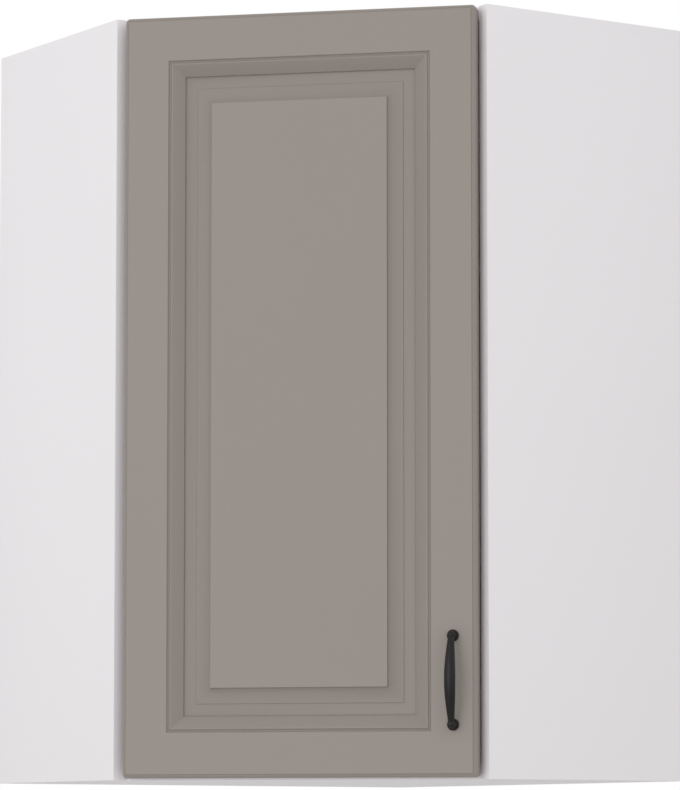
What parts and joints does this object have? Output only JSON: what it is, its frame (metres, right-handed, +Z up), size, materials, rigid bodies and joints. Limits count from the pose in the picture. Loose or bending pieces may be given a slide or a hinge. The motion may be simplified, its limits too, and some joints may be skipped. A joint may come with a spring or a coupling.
{
  "type": "corner wall cabinet",
  "caption": "Corner wall cabinet with a raised-panel door set at 45 degrees on cup hinges, a bow handle, loose shelves and hidden wall hooks.",
  "frame": {"origin": "the room's corner at the height of the cabinet's underside, where both walls and the underside's plane meet", "axes": "+Z up; the wall planes are X = 0 and Y = 0; the cabinet fills +X and -Y, and its door faces halfway between +X and -Y"},
  "size_m": [0.6005, 0.6, 0.9],
  "materials": {
    "panel_board": "chipboard with a fine-grained matt white melamine coating and white edge banding",
    "back_board": "thin hardboard, white lacquered on the inside, brown on the wall side",
    "door_paint": "routed fibreboard with a smooth warm grey satin covering",
    "handle_iron": "cast and blackened, soft satin sheen",
    "hinge_nickel": "pressed steel, nickel plated",
    "screw_steel": "nickel plated steel",
    "connector_zinc": "cast zinc cam on a steel bolt, dull",
    "pin_nickel": "turned steel, nickel plated",
    "hanger_plastic": "moulded white plastic, finely textured",
    "hanger_steel": "zinc plated pressed steel",
    "buffer_rubber": "soft translucent bumper"
  },
  "bodies": {
    "carcass": {"bottom_connector_left_1": "connector_zinc", "bottom_connector_left_2": "connector_zinc", "bottom_connector_right_1": "connector_zinc", "bottom_connector_right_2": "connector_zinc", "bottom_panel": "panel_board", "corner_post": "panel_board", "left_back_board": "back_board", "left_hanger_case": "hanger_plastic", "left_hanger_hook": "hanger_steel", "left_hanger_screw": "hanger_steel", "left_side_panel": "panel_board", "lower_hinge_arm": "hinge_nickel", "lower_hinge_clamp_screw": "screw_steel", "lower_hinge_plate": "hinge_nickel", "lower_hinge_plate_screw_1": "screw_steel", "lower_hinge_plate_screw_2": "screw_steel", "lower_hinge_side_screw": "screw_steel", "lower_shelf": "panel_board", "lower_shelf_pin_corner": "pin_nickel", "lower_shelf_pin_left_front": "pin_nickel", "lower_shelf_pin_left_rear": "pin_nickel", "lower_shelf_pin_right_front": "pin_nickel", "lower_shelf_pin_right_rear": "pin_nickel", "right_back_board": "back_board", "right_hanger_case": "hanger_plastic", "right_hanger_hook": "hanger_steel", "right_hanger_screw": "hanger_steel", "right_side_panel": "panel_board", "top_connector_left_1": "connector_zinc", "top_connector_left_2": "connector_zinc", "top_connector_right_1": "connector_zinc", "top_connector_right_2": "connector_zinc", "top_panel": "panel_board", "upper_hinge_arm": "hinge_nickel", "upper_hinge_clamp_screw": "screw_steel", "upper_hinge_plate": "hinge_nickel", "upper_hinge_plate_screw_1": "screw_steel", "upper_hinge_plate_screw_2": "screw_steel", "upper_hinge_side_screw": "screw_steel", "upper_shelf": "panel_board", "upper_shelf_pin_corner": "pin_nickel", "upper_shelf_pin_left_front": "pin_nickel", "upper_shelf_pin_left_rear": "pin_nickel", "upper_shelf_pin_right_front": "pin_nickel", "upper_shelf_pin_right_rear": "pin_nickel"},
    "door_leaf": {"door": "door_paint", "handle": "handle_iron", "lower_door_buffer": "buffer_rubber", "lower_handle_screw": "screw_steel", "lower_hinge_cup": "hinge_nickel", "lower_hinge_cup_screw_1": "screw_steel", "lower_hinge_cup_screw_2": "screw_steel", "lower_hinge_pin": "screw_steel", "upper_door_buffer": "buffer_rubber", "upper_handle_screw": "screw_steel", "upper_hinge_cup": "hinge_nickel", "upper_hinge_cup_screw_1": "screw_steel", "upper_hinge_cup_screw_2": "screw_steel", "upper_hinge_pin": "screw_steel"}
  },
  "joints": [
    {"name": "door_hinge", "type": "hinge", "parent": "carcass", "child": "door_leaf", "pos_m": [0.30262, -0.58195, 0.45], "axis": [0, 0, -1], "range_deg": [0, 100]}
  ]
}
